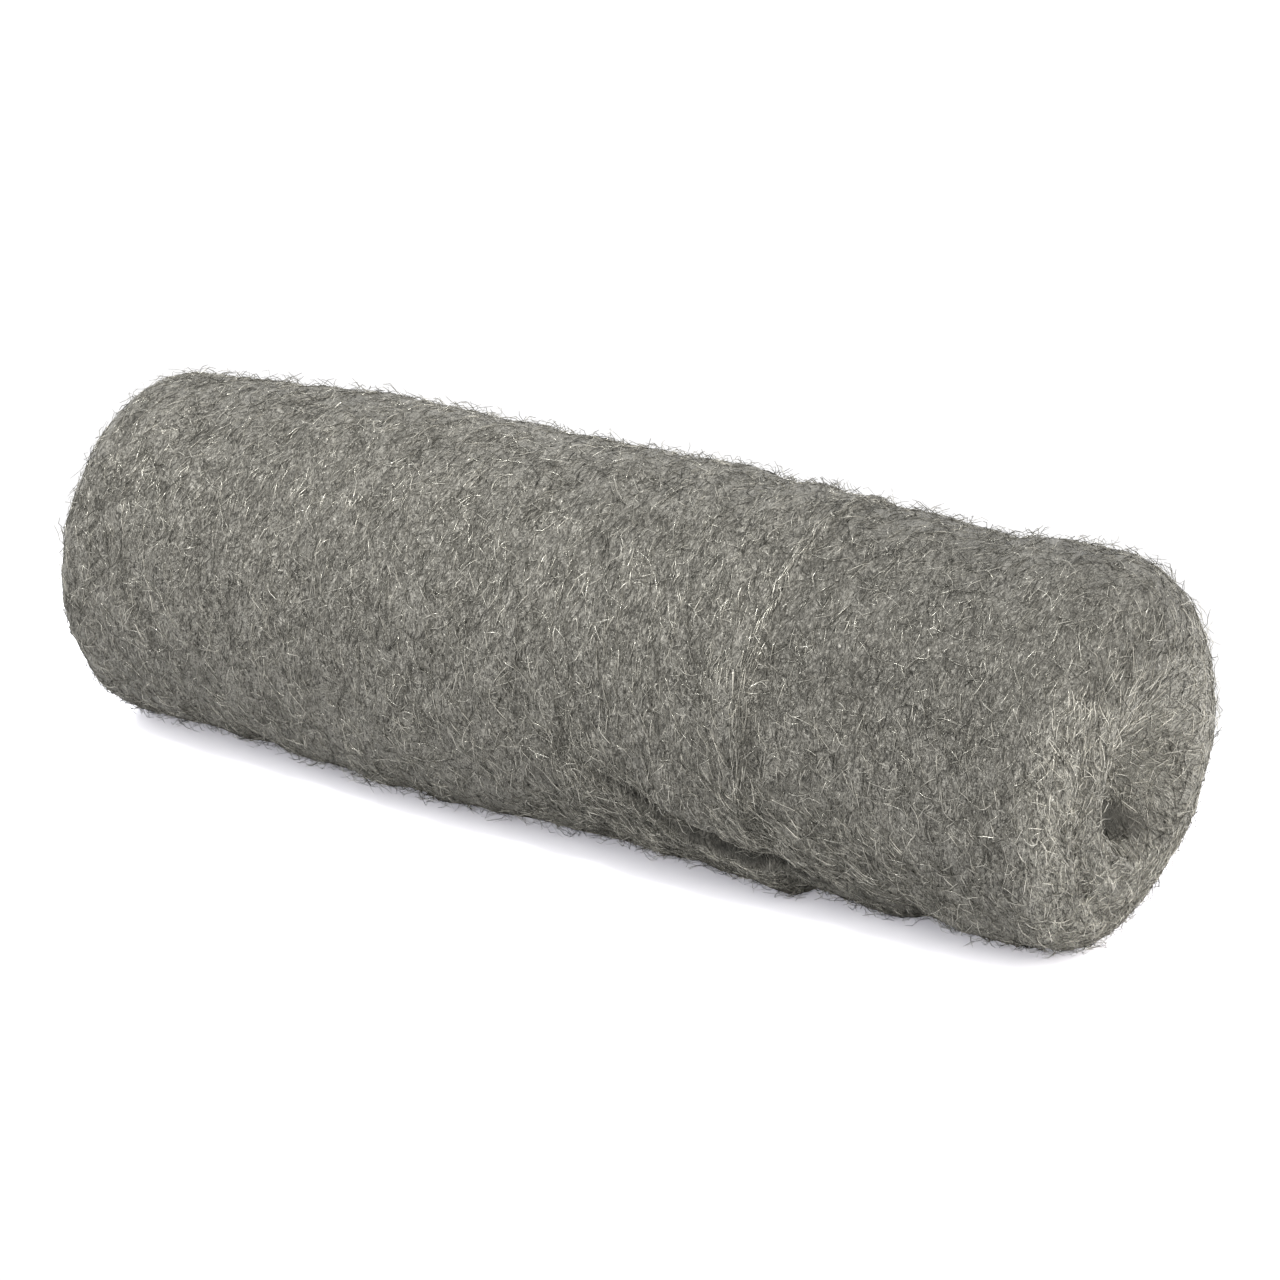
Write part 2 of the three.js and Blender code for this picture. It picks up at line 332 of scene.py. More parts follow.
@dataclass(frozen=True)
class Tufts:
    """The wool's own small relief: soft waves longest round the roll, and finer felted lumps."""

    seed: int = 11
    waves: int = 42
    tallest: float = 0.07
    longest: float = 24.0
    shortest: float = 3.5

    def height(self, points: Array) -> Array:
        """The relief over each point.

        Formula: a sum of sine waves with random directions and phases over the point's place. A wave's
        height is the tallest times its share of the longest length to the power 0.7.

        Args:
            points: places on the skin, in millimetres.

        Returns:
            Heights in millimetres.
        """
        rng = np.random.default_rng(self.seed)
        total = np.zeros(points.shape[:-1])
        for length in np.geomspace(self.longest, self.shortest, self.waves):
            direction = rng.normal(size=3) * np.array([1.6, 0.7, 0.7])
            direction /= np.linalg.norm(direction)
            phase = rng.uniform(0, 2 * np.pi)
            size = self.tallest * (length / self.longest) ** 0.7
            total += size * np.sin(2 * np.pi / length * (points @ direction) + phase)
        return total


@dataclass(frozen=True)
class PaintedShadeMap:
    """How far places on the roll are painted darker or lighter than plain wool: shares, with places in
    millimetres.
    """

    crease: float = 1.2
    crease_half_width: float = 2.0
    pit: float = 2.0
    pit_side: float = -11.0
    pit_height: float = 31.5
    pit_slant: float = 0.5
    pit_half_length: float = 11.0
    pit_half_width: float = 3.8
    under_layer: float = 0.14
    painted_end_light: float = 0.58

    def depth(self, form: RollForm, points: Array, station: Array, turn: Array) -> Array:
        """The painted shade at each point.

        Formula: painted shade, a bell across the ragged crease and a slanted bell in the hollow's pit, and a
        smooth step that darkens the top over the layer below the side edge, less painted light, a smooth
        step over the open end.

        Args:
            form: the roll's form.
            points: the grid's points in millimetres.
            station: each point's station.
            turn: each point's turn.

        Returns:
            The painted shade: about 1 in the crease and the pit, 0 on plain wool, and below 0 where
            painted light makes the wool brighter.
        """
        from_edge = points[..., 0] - form.side_edge_x
        side, height = points[..., 1], points[..., 2]
        ragged = 0.85 + 0.15 * np.sin(1.7 * from_edge) * np.sin(0.6 * from_edge + 1)
        opening = smooth(-46, -16, from_edge) * (0.4 + 0.6 * smooth(-28, -8, from_edge))
        opening = opening * (1 - smooth(5, 13, from_edge)) * ((station > 1) & (station < 2))
        # painted shade along the crease
        crease = opening * ragged * bell(swing(turn), 0, self.crease_half_width * ragged)
        # painted shade in the hollow's pit
        across = height - self.pit_height + self.pit_slant * (side - self.pit_side)
        along = bell(side, self.pit_side, self.pit_half_length)
        pit = along * bell(across, 0, self.pit_half_width) * (station > 2.68)
        # darker over the top past the side edge
        edge = form.side_station(form.side_edge_x)
        under_layer = smooth(edge, edge + 0.02, station) * smooth(42, 66, height)
        # painted light over the open end
        end = smooth(2.1, 2.4, station) * (1 - 0.8 * smooth(52, 70, height))
        return (self.crease * crease + self.pit * pit + self.under_layer * under_layer
                - self.painted_end_light * end)


class RollSkin:
    """A fine grid of points over the roll, which its body and its fibres share.

    The grid is worked out once. Places on it are named by a profile distance, in millimetres along the
    roll's outline from the closed end's middle to the hollow's middle, and a turn in degrees.
    """

    def __init__(self, form: RollForm, tufts: Tufts, shades: PaintedShadeMap, box: tuple[Vector, Vector]) -> None:
        """Works the grid out and centres it on the frame's box.

        Args:
            form: the roll's form.
            tufts: the relief to add to it.
            shades: where the wool is painted darker or brighter.
            box: the frame's lowest and highest corner, in metres.
        """
        self.form = form
        self.stations = self._rows()
        self.turns = np.concatenate([
            np.arange(0, 12, 0.6), np.linspace(12, 345, 220, endpoint=False), np.arange(345, 360, 0.6)])
        station, turn = np.meshgrid(self.stations, self.turns, indexing="ij")
        points = form.surface(station, turn)
        self.depth = shades.depth(form, points, station, turn)
        self.normals = self._outward(points)
        inset = 0.5
        relief = tufts.height(points) - inset
        grounded = points[..., 2] < 0.05
        points = points + self.normals * np.where(grounded, 0.0, relief)[..., None]
        lowest, highest = np.array(box[0]) / MM, np.array(box[1]) / MM
        middle = (points.reshape(-1, 3).min(0) + points.reshape(-1, 3).max(0)) / 2
        points[..., :2] += ((lowest + highest) / 2 - middle)[:2]
        points[..., 2] = np.maximum(points[..., 2], 0.0)
        self.points = points
        steps = np.linalg.norm(np.diff(points, axis=0), axis=-1).mean(1)
        self.profile = np.concatenate([[0.0], np.cumsum(steps)])
        centre = points.mean(1, keepdims=True)
        self.girth_radius = np.linalg.norm(points - centre, axis=-1).mean(1)

    def _rows(self) -> Array:
        """The grid's stations: even over both ends and the side, and closer beside the web's side edge."""
        form = self.form
        edge = form.side_station(form.side_edge_x)
        beside = edge + np.arange(-9, 9.1, 0.65) / (form.open_shoulder_x - form.closed_shoulder_x)
        even = np.linspace(1, 2, 96, endpoint=False)
        side = np.concatenate([even[(even < beside[0]) | (even > beside[-1])], beside])
        return np.concatenate([
            np.linspace(0.02, 1, 26, endpoint=False), np.sort(side), np.linspace(2, 2.985, 62)])

    @staticmethod
    def _outward(points: Array) -> Array:
        """Unit normals of a grid that wraps round: the cross product of its two difference arrays."""
        along = np.gradient(points, axis=0)
        around = np.roll(points, -1, axis=1) - np.roll(points, 1, axis=1)
        normals = np.cross(around, along)
        return normals / np.maximum(np.linalg.norm(normals, axis=-1, keepdims=True), 1e-9)

    @property
    def profile_length(self) -> float:
        """The profile's whole length."""
        return float(self.profile[-1])

    def distance_at(self, station: float) -> float:
        """The profile distance of a station."""
        return float(np.interp(station, self.stations, self.profile))

    def radius_at(self, distance: Array) -> Array:
        """The mean radius of the ring at each profile distance."""
        return np.interp(distance, self.profile, self.girth_radius)

    def at(self, distance: Array, turn: Array) -> tuple[Array, Array, Array]:
        """Points and normals between the grid's own.

        Formula: bilinear, so each place is the mean of its cell's four corners, weighed by nearness.

        Args:
            distance: profile distances in millimetres.
            turn: turns in degrees, of any size.

        Returns:
            Points in millimetres, unit normals and the painted shade at each place.
        """
        row = np.interp(distance, self.profile, np.arange(len(self.profile)))
        row = np.clip(row, 0, len(self.profile) - 1.001)
        ends = np.append(self.turns, 360.0)
        column = np.interp(np.asarray(turn) % 360.0, ends, np.arange(len(ends)))
        column = np.minimum(column, len(self.turns) - 0.001)
        r0, c0 = row.astype(int), column.astype(int)
        c1 = (c0 + 1) % len(self.turns)
        fr, fc = (row - r0)[..., None], (column - c0)[..., None]

        def mixed(grid: Array) -> Array:
            """The bilinear mean of one grid's four corner values."""
            near = grid[r0, c0] * (1 - fc) + grid[r0, c1] * fc
            far = grid[r0 + 1, c0] * (1 - fc) + grid[r0 + 1, c1] * fc
            return near * (1 - fr) + far * fr

        points, normals = mixed(self.points), mixed(self.normals)
        normals = normals / np.linalg.norm(normals, axis=-1, keepdims=True)
        return points, normals, mixed(self.depth[..., None])[..., 0]


def write_mesh(name: str, points: Array, quads: Array, triangles: Array, uv: Array,
               shares: tuple[str, Array]) -> bpy.types.Object:
    """Writes a mesh object at the origin from whole arrays.

    Args:
        name: the object's name.
        points: vertex places in metres, one row each.
        quads: vertex numbers of the four-sided faces, one row each.
        triangles: vertex numbers of the three-sided faces, one row each.
        uv: a place on the piece's own map for each corner, quads first.
        shares: the name of an attribute for the material to read, and its value for each vertex.

    Returns:
        The new object, linked to the scene.
    """
    mesh = bpy.data.meshes.new(name)
    mesh.vertices.add(len(points))
    mesh.vertices.foreach_set("co", points.astype(np.float32).ravel())
    corners = np.concatenate([quads.ravel(), triangles.ravel()]).astype(np.int32)
    mesh.loops.add(len(corners))
    mesh.loops.foreach_set("vertex_index", corners)
    starts = np.concatenate([
        np.arange(len(quads)) * 4,
        len(quads) * 4 + np.arange(len(triangles)) * 3,
    ]).astype(np.int32)
    mesh.polygons.add(len(starts))
    mesh.polygons.foreach_set("loop_start", starts)
    mesh.update(calc_edges=True)
    layer = mesh.uv_layers.new(name="OFBake")
    layer.data.foreach_set("uv", uv.astype(np.float32).ravel())
    label, values = shares
    attribute = mesh.attributes.new(label, "FLOAT", "POINT")
    attribute.data.foreach_set("value", np.asarray(values, np.float32).ravel())
    mesh.validate()
    mesh.shade_smooth()
    obj = bpy.data.objects.new(name, mesh)
    bpy.context.scene.collection.objects.link(obj)
    return obj


@dataclass
class WoolBody:
    """The felted body of the roll: one closed skin over the whole grid."""

    skin: RollSkin
    name: str = "wool_body"

    def build(self) -> bpy.types.Object:
        """Joins the grid's rings by quads, closes both middles with fans and shades it smooth."""
        grid = self.skin.points
        rows, columns = grid.shape[:2]
        poles = np.stack([grid[0].mean(0), grid[-1].mean(0)])
        points = np.concatenate([grid.reshape(-1, 3), poles]) * MM
        row, column = np.meshgrid(np.arange(rows - 1), np.arange(columns), indexing="ij")
        right = (column + 1) % columns
        quads = np.stack([
            row * columns + column, row * columns + right,
            (row + 1) * columns + right, (row + 1) * columns + column,
        ], axis=-1).reshape(-1, 4)
        ring = np.arange(columns)
        beside = (ring + 1) % columns
        first, last = rows * columns, rows * columns + 1
        top = (rows - 1) * columns
        triangles = np.concatenate([
            np.stack([np.full(columns, first), beside, ring], axis=-1),
            np.stack([top + ring, top + beside, np.full(columns, last)], axis=-1),
        ])
        shares = np.append(self.skin.depth.ravel(), [0.0, 0.0])
        return write_mesh(self.name, points, quads, triangles, self._map(row, column), ("depth", shares))

    def _map(self, row: Array, column: Array) -> Array:
        """The body's own map: the turn across, and the profile distance up, each as a share of its whole."""
        columns = len(self.skin.turns)
        share = 0.01 + 0.98 * self.skin.profile / self.skin.profile_length
        across = np.append(self.skin.turns, 360.0) / 360.0
        left, right = across[column], across[column + 1]
        low, high = share[row], share[row + 1]
        quads = np.stack([left, low, right, low, right, high, left, high], axis=-1).reshape(-1, 2)
        ring, step = across[:-1], np.diff(across)
        bottom = np.full(columns, share[0])
        top = np.full(columns, share[-1])
        zero, one = np.zeros(columns), np.ones(columns)
        closed = np.stack([ring + step / 2, zero, ring + step, bottom, ring, bottom], axis=-1)
        opened = np.stack([ring, top, ring + step, top, ring + step / 2, one], axis=-1)
        return np.concatenate([quads, closed.reshape(-1, 2), opened.reshape(-1, 2)])


class Habit(Enum):
    """How the fibres of a batch rise from the roll."""

    LAID = "laid"
    STRAY = "stray"


@dataclass(frozen=True)
class Patch:
    """Where some fibres of a batch start, and how they head from there."""

    count: int
    heading: float = 0.0
    spread: float = 20.0
    bend: float = 4.0
    near: float = 0.03
    far: float = 2.97
    first_turn: float = 0.0
    last_turn: float = 360.0


@dataclass(frozen=True)
class Strands:
    """One batch of steel fibres, each a closed three-sided tube that tapers to both tips."""

    name: str
    habit: Habit
    patches: tuple[Patch, ...]
    steps: int
    step: float
    width: float
    rise: float
    seed: int

    @property
    def count(self) -> int:
        """The number of fibres in all patches."""
        return sum(patch.count for patch in self.patches)

    def _starts(self, skin: RollSkin, rng: np.random.Generator) -> tuple[Array, ...]:
        """Each fibre's first place, turn, heading and bend: evenly over the area of each patch."""
        columns: list[tuple[Array, ...]] = []
        for patch in self.patches:
            many = patch.count
            rings = np.linspace(skin.distance_at(patch.near), skin.distance_at(patch.far), 300)
            weights = skin.radius_at(rings)
            distance = rng.choice(rings, many, p=weights / weights.sum())
            turn = rng.uniform(patch.first_turn, patch.last_turn, many)
            facing = np.pi * rng.integers(0, 2, many) + np.radians(patch.heading)
            heading = facing + rng.normal(0, np.radians(patch.spread), many)
            columns.append((distance, turn, heading, np.full(many, np.radians(patch.bend))))
        return tuple(np.concatenate(part) for part in zip(*columns))

    def _paths(self, skin: RollSkin) -> tuple[Array, Array, Array]:
        """Walks each fibre over the skin.

        Formula: the heading is measured from the way round the roll. It starts from a bell-shaped
        spread, keeps a steady bend and adds random turns. Each step adds its sine to the profile
        distance and its cosine over the ring's radius to the turn. A laid fibre's height over the skin
        is a wave under an arch that sinks below the skin at both tips. A stray fibre rises in a rippled
        arch to its free tip. Both sink, by a random share each, where they meet the crease or the pit.

        Args:
            skin: the grid to walk over.

        Returns:
            Points in millimetres, one row of steps for each fibre, and the skin's normals and painted shade
            there.
        """
        rng = np.random.default_rng(self.seed)
        distance, turn, heading, bend = self._starts(skin, rng)
        many = self.count
        steady = rng.normal(0, 1, many) * bend
        wander = rng.normal(0, 0.9, (self.steps, many)) * bend
        turns_at, places = np.empty((self.steps, many)), np.empty((self.steps, many))
        for k in range(self.steps):
            places[k], turns_at[k] = distance, turn
            heading = heading + steady + wander[k]
            distance = np.clip(distance + self.step * np.sin(heading), 1.5, skin.profile_length - 1.5)
            radius = np.maximum(skin.radius_at(distance), 3.0)
            turn = turn + np.degrees(self.step * np.cos(heading) / radius)
        points, normals, depth = skin.at(places.T, turns_at.T)
        along = np.linspace(0, 1, self.steps)[None, :]
        lift = rng.uniform(0.1, 1.0, (many, 1)) * self.rise
        if self.habit is Habit.STRAY:
            ripple = np.sin(along * rng.uniform(4, 11, (many, 1)) + rng.uniform(0, 6, (many, 1)))
            height = lift * (1 - (1 - along) ** 1.8 + 0.2 * ripple * along) - 0.25
        else:
            lift = lift * rng.uniform(0.4, 1.0, (many, 1))
            waves = np.sin(rng.uniform(1, 3, (many, 1)) * np.pi * along + rng.uniform(0, np.pi, (many, 1)))
            arch = np.sin(np.pi * along)
            height = lift * (0.55 + 0.45 * waves) * arch ** 0.6 - 0.22 * (1 - arch ** 0.5) + 0.05
        sunk = rng.uniform(0.0, 2.6, (many, 1)) * (np.clip(depth, 0.3, 1.0) - 0.3)
        points = points + normals * (height - sunk)[..., None]
        points[..., 2] = np.maximum(points[..., 2], self.width)
        return points, normals, depth

    def build(self, skin: RollSkin) -> bpy.types.Object:
        """Carries a triangle along every path and writes all the tubes as one piece.

        Formula: at each step the triangle's corners stand at three even angles in the plane of the
        skin's normal and the side direction, which is the path's direction crossed with that normal.
        The triangle turns slowly along the fibre and shrinks towards its tips.

        Args:
            skin: the grid that the fibres lie on.

        Returns:
            The new object.
        """
        points, normals, depth = self._paths(skin)
        many, steps = points.shape[:2]
        rng = np.random.default_rng(self.seed + 1)
        tangent = np.gradient(points, axis=1)
        tangent /= np.maximum(np.linalg.norm(tangent, axis=-1, keepdims=True), 1e-9)
        side = np.cross(tangent, normals)
        side /= np.maximum(np.linalg.norm(side, axis=-1, keepdims=True), 1e-9)
        up = np.cross(side, tangent)
        along = np.linspace(0, 1, steps)
        taper = 0.6 + 0.4 * np.sin(np.pi * along) ** 0.5
        width = rng.uniform(0.6, 1.3, (many, 1)) * self.width * taper / 2
        twist = rng.uniform(0, 2 * np.pi, (many, 1)) + rng.normal(0, 2.2, (many, 1)) * along
        corner = twist[..., None] + np.arange(3) * 2 * np.pi / 3
        reach = width[..., None, None]
        rings = (points[:, :, None] + reach * np.cos(corner)[..., None] * up[:, :, None]
                 + reach * np.sin(corner)[..., None] * side[:, :, None])
        vertices = rings.reshape(-1, 3) * MM
        base = (np.arange(many)[:, None, None] * steps + np.arange(steps - 1)[None, :, None]) * 3
        here = np.arange(3)[None, None, :]
        beside = (here + 1) % 3
        quads = np.stack([base + here, base + 3 + here, base + 3 + beside, base + beside], axis=-1)
        start = np.arange(many) * steps * 3
        end = start + (steps - 1) * 3
        tips = np.concatenate([
            np.stack([start, start + 1, start + 2], axis=-1),
            np.stack([end, end + 2, end + 1], axis=-1),
        ])
        # painted shade darkens fibres in the crease and the pit, and painted light brightens those over the
        # open end; the random share is each fibre's own tone
        tone_and_painted_shade = rng.uniform(0, 1, (many, 1)) * (1 - 0.85 * depth) - 0.4 * np.clip(depth - 0.3, 0, 1)
        return write_mesh(
            self.name, vertices, quads.reshape(-1, 4), tips, self._map(many, steps),
            ("tone_and_painted_shade", np.repeat(tone_and_painted_shade, 3)))

    def _map(self, many: int, steps: int) -> Array:
        """The fibres' own map: a grid of cells, one for each fibre, which runs along its cell."""
        cells = int(np.ceil(np.sqrt(many)))
        cell = np.arange(many)
        left, low = (cell % cells) / cells, (cell // cells) / cells
        size = 0.9 / cells
        near = np.arange(steps - 1)[None, :, None] / (steps - 1) * size
        far = near + size / (steps - 1)
        here = np.arange(3)[None, None, :] / 3 * size
        beside = here + size / 3
        x0, y0 = left[:, None, None], low[:, None, None]
        corners = np.broadcast_arrays(
            x0 + near, y0 + here, x0 + far, y0 + here, x0 + far, y0 + beside, x0 + near, y0 + beside)
        quads = np.stack(corners, axis=-1).reshape(-1, 2)
        start = np.stack([left, low, left, low + size / 3, left + size * 0.02, low + size * 0.2], axis=-1)
        end = start + np.array([size * 0.96, 0] * 3)
        return np.concatenate([quads, start.reshape(-1, 2), end.reshape(-1, 2)])


class Signal:
    """A node's output that adds Math nodes to its tree when it is used in an expression."""

    def __init__(self, shader: "Shader", socket: bpy.types.NodeSocket) -> None:
        """Wraps a socket of the shader's tree."""
        self.shader = shader
        self.socket = socket

    def __add__(self, other: Any) -> "Signal":
        """Self plus other."""
        return self.shader.math("ADD", self, other)

    def __radd__(self, other: Any) -> "Signal":
        """Other plus self."""
        return self.shader.math("ADD", other, self)

    def __sub__(self, other: Any) -> "Signal":
        """Self minus other."""
        return self.shader.math("SUBTRACT", self, other)

    def __rsub__(self, other: Any) -> "Signal":
        """Other minus self."""
        return self.shader.math("SUBTRACT", other, self)

    def __mul__(self, other: Any) -> "Signal":
        """Self times other."""
        return self.shader.math("MULTIPLY", self, other)

    def __rmul__(self, other: Any) -> "Signal":
        """Other times self."""
        return self.shader.math("MULTIPLY", other, self)

    def larger(self, other: Any) -> "Signal":
        """The larger of self and other."""
        return self.shader.math("MAXIMUM", self, other)


class Shader:
    """A material's or the world's node tree, with one method that makes every node."""

    def __init__(self, owner: bpy.types.Material | bpy.types.World) -> None:
        """Takes the owner's tree over and leaves an output node alone in it."""
        owner.use_nodes = True
        self.owner = owner
        self.tree = owner.node_tree
        self.tree.nodes.clear()
        kind = "World" if isinstance(owner, bpy.types.World) else "Material"
        self.output = self.tree.nodes.new(f"ShaderNodeOutput{kind}")

    def add(self, kind: str, settings: dict[str, Any] | None = None,
            inputs: dict[Any, Any] | None = None, output: Any = 0) -> Signal:
        """Adds a node.

        Args:
            kind: the node's type.
            settings: its settings, set before its sockets. "stops" gives a ramp's places and colours.
            inputs: values or signals for its sockets, by name or number.
            output: the output socket to return, by name or number.

        Returns:
            That output as a signal.
        """
        node = self.tree.nodes.new(kind)
        for key, value in (settings or {}).items():
            if key == "stops":
                self._set_stops(node.color_ramp, value)
            else:
                setattr(node, key, value)
        for key, value in (inputs or {}).items():
            if isinstance(value, Signal):
                self.tree.links.new(value.socket, node.inputs[key])
            else:
                node.inputs[key].default_value = value
        return Signal(self, node.outputs[output])

    @staticmethod
    def _set_stops(ramp: bpy.types.ColorRamp, stops: list[tuple[float, Colour]]) -> None:
        """Gives a ramp its stops, from the first to the last."""
        while len(ramp.elements) < len(stops):
            ramp.elements.new(0.5)
        for element, (place, colour) in zip(ramp.elements, stops):
            element.position = place
            element.color = (*colour, 1.0)

    def math(self, operation: str, first: Any, second: Any = 0.0) -> Signal:
        """Adds one Math node."""
        return self.add("ShaderNodeMath", {"operation": operation}, {0: first, 1: second})

    def noise(self, place: Signal, scale: float, detail: float, roughness: float = 0.5,
              distortion: float = 0.0, output: Any = 0) -> Signal:
        """Adds a Noise Texture node at a place, and gives its value or the output that is named."""
        return self.add("ShaderNodeTexNoise", {"noise_dimensions": "3D"}, {
            "Vector": place, "Scale": scale, "Detail": detail, "Roughness": roughness,
            "Distortion": distortion}, output)

    def parts(self, vector: Signal) -> list[Signal]:
        """The x, y and z of a vector."""
        return self._outputs(self.add("ShaderNodeSeparateXYZ", None, {0: vector}), range(3))

    def ray_kinds(self) -> list[Signal]:
        """Whether a ray is the camera's, a reflection or a transmission: 1 where it is, else 0."""
        kinds = ("Is Camera Ray", "Is Glossy Ray", "Is Transmission Ray")
        return self._outputs(self.add("ShaderNodeLightPath"), kinds)

    def _outputs(self, signal: Signal, keys: Iterable[int | str]) -> list[Signal]:
        """Several outputs, by name or number, of the node that a signal comes from."""
        return [Signal(self, signal.socket.node.outputs[key]) for key in keys]

    def finish(self, surface: Signal) -> bpy.types.Material | bpy.types.World:
        """Links the surface to the output and returns the tree's owner."""
        self.tree.links.new(surface.socket, self.output.inputs["Surface"])
        return self.owner


@dataclass(frozen=True)
class WoolFinish:
    """Matted steel wool: crossing streaks that run round the roll, over dark gaps that are painted shade
    among the fibres.

    The side's radius is in millimetres. Each lay of streaks has its turn in radians and the scale of its
    noise across and along the streaks. The shares weigh streaks, grain and patches in the brightness.
    """

    name: str = "matted_steel_wool"
    gap: Colour = (0.030, 0.029, 0.024)
    shade: Colour = (0.115, 0.111, 0.097)
    middle: Colour = (0.305, 0.295, 0.264)
    bright: Colour = (0.800, 0.777, 0.702)
    metallic: float = 0.5
    roughness: float = 0.42
    bump_height: float = 0.0003
    side_radius: float = 38.0
    streak_share: float = 0.80
    grain_share: float = 0.30
    patch_share: float = 0.14
    darker_by: float = 0.20
    lays: tuple[tuple[float, float, float], ...] = (
        (0.0, 1.5, 0.32), (0.32, 1.4, 0.36), (-0.38, 1.4, 0.38), (0.8, 1.2, 0.42), (-0.95, 1.2, 0.45))

    def _lay(self, shader: Shader, place: Signal, angle: float, across: float, along: float) -> Signal:
        """One lay of fibres: thin ridges where noise that is long along the lay crosses its mean."""
        turned = shader.add("ShaderNodeMapping", {"vector_type": "POINT"}, {
            "Vector": place, "Rotation": (0.0, 0.0, angle), "Scale": (across, along, 0.6)})
        noise = shader.noise(turned, 1.0, 1.5, 0.6, 0.2)
        ridge = 1.0 - 2.0 * shader.math("ABSOLUTE", noise - 0.5)
        return shader.math("POWER", ridge, 14.0)

    def _unrolled(self, shader: Shader, spot: Signal, axis_height: float) -> Signal:
        """The place as millimetres along the profile and round the roll.

        Formula: x plus the radius lost since the side, away from the roll's middle; and the angle round
        the roll times the side's radius. The angle's seam lies on the ground.

        Args:
            shader: the material's shader.
            spot: object coordinates.
            axis_height: height of the roll's centre line in metres.

        Returns:
            The unrolled place.
        """
        x, y, z = shader.parts(spot)
        rise = z - axis_height
        angle = shader.math("ARCTAN2", y, rise)
        radius = shader.math("SQRT", y * y + rise * rise)
        side = shader.math("MINIMUM", x * 10.0, 1.0).larger(-1.0)
        along = x * MM_PER_METRE
        return shader.add("ShaderNodeCombineXYZ", None, {
            0: along + side * (self.side_radius - radius * MM_PER_METRE), 1: angle * self.side_radius,
            2: along})

    def build(self, axis_height: float) -> bpy.types.Material:
        """Makes the material.

        Formula: the unrolled place sways by coarse noise, so that the streaks of each lay wander. The
        lays are joined by their peaks over fine grain, and the painted shade attribute darkens the sum in
        the crease and the pit and lightens it with painted light over the open end.

        Args:
            axis_height: height of the roll's centre line in metres.

        Returns:
            The material.
        """
        shader = Shader(bpy.data.materials.new(self.name))
        spot = shader.add("ShaderNodeTexCoord", output="Object")
        place = self._unrolled(shader, spot, axis_height)
        sway = shader.noise(place, 0.3, 2.0, output="Color")
        swayed = shader.add("ShaderNodeVectorMath", {"operation": "MULTIPLY_ADD"}, {
            0: sway, 1: (3.2, 3.2, 3.2), 2: place})
        peaks = self._lay(shader, swayed, *self.lays[0])
        for lay in self.lays[1:]:
            peaks = peaks.larger(self._lay(shader, swayed, *lay))
        grain = shader.noise(spot, 1100.0, 2.0, 0.7)
        patch = shader.noise(spot, 110.0, 3.0, 0.6)
        # painted shade and painted light, carried by the skin's attribute
        depth = shader.add("ShaderNodeAttribute", {"attribute_name": "depth"}, output="Fac")
        plain = (peaks * self.streak_share + grain * self.grain_share + patch * self.patch_share
                 - self.darker_by)
        level = plain * (1.0 - depth * (grain * 0.9 + 0.42))
        # the gap colour is painted shade among the fibres
        colour = shader.add("ShaderNodeValToRGB", {"stops": [
            (0.0, self.gap), (0.25, self.shade), (0.6, self.middle), (1.0, self.bright)]}, {0: level})
        bump = shader.add("ShaderNodeBump", None, {
            "Strength": 0.9, "Distance": self.bump_height, "Height": level})
        surface = shader.add("ShaderNodeBsdfPrincipled", None, {
            "Base Color": colour, "Metallic": self.metallic, "Roughness": self.roughness, "Normal": bump})
        return shader.finish(surface)


@dataclass(frozen=True)
class FibreFinish:
    """Single steel fibres: bright metal whose tone changes from fibre to fibre, and which is painted darker
    in the crease and the pit and lighter over the open end.

    The shares weigh the fibre's tone with its painted shade, and the patches, in the brightness.
    """

    name: str = "wound_fibre"
    dark: Colour = (0.09, 0.087, 0.076)
    middle: Colour = (0.335, 0.325, 0.288)
    bright: Colour = (0.86, 0.835, 0.752)
    roughness: float = 0.26
    roughness_spread: float = 0.24
    metallic: float = 0.9
    tint_share: float = 0.86
    patch_share: float = 0.60
    darker_by: float = 0.23

    def build(self) -> bpy.types.Material:
        """Makes the material: a ramp over each fibre's own tone and painted shade, broken by fine noise
        along it.
        """
        shader = Shader(bpy.data.materials.new(self.name))
        spot = shader.add("ShaderNodeTexCoord", output="Object")
        patch = shader.noise(spot, 420.0, 2.0, 0.7)
        # each fibre's own tone, with painted shade and painted light in it
        tone_and_painted_shade = shader.add("ShaderNodeAttribute", {"attribute_name": "tone_and_painted_shade"}, output="Fac")
        level = tone_and_painted_shade * self.tint_share + patch * self.patch_share - self.darker_by
        colour = shader.add("ShaderNodeValToRGB", {"stops": [
            (0.0, self.dark), (0.55, self.middle), (1.0, self.bright)]}, {0: level})
        rough = patch * self.roughness_spread + (self.roughness - self.roughness_spread / 2)
        surface = shader.add("ShaderNodeBsdfPrincipled", None, {
            "Base Color": colour, "Metallic": self.metallic, "Roughness": rough})
        return shader.finish(surface)


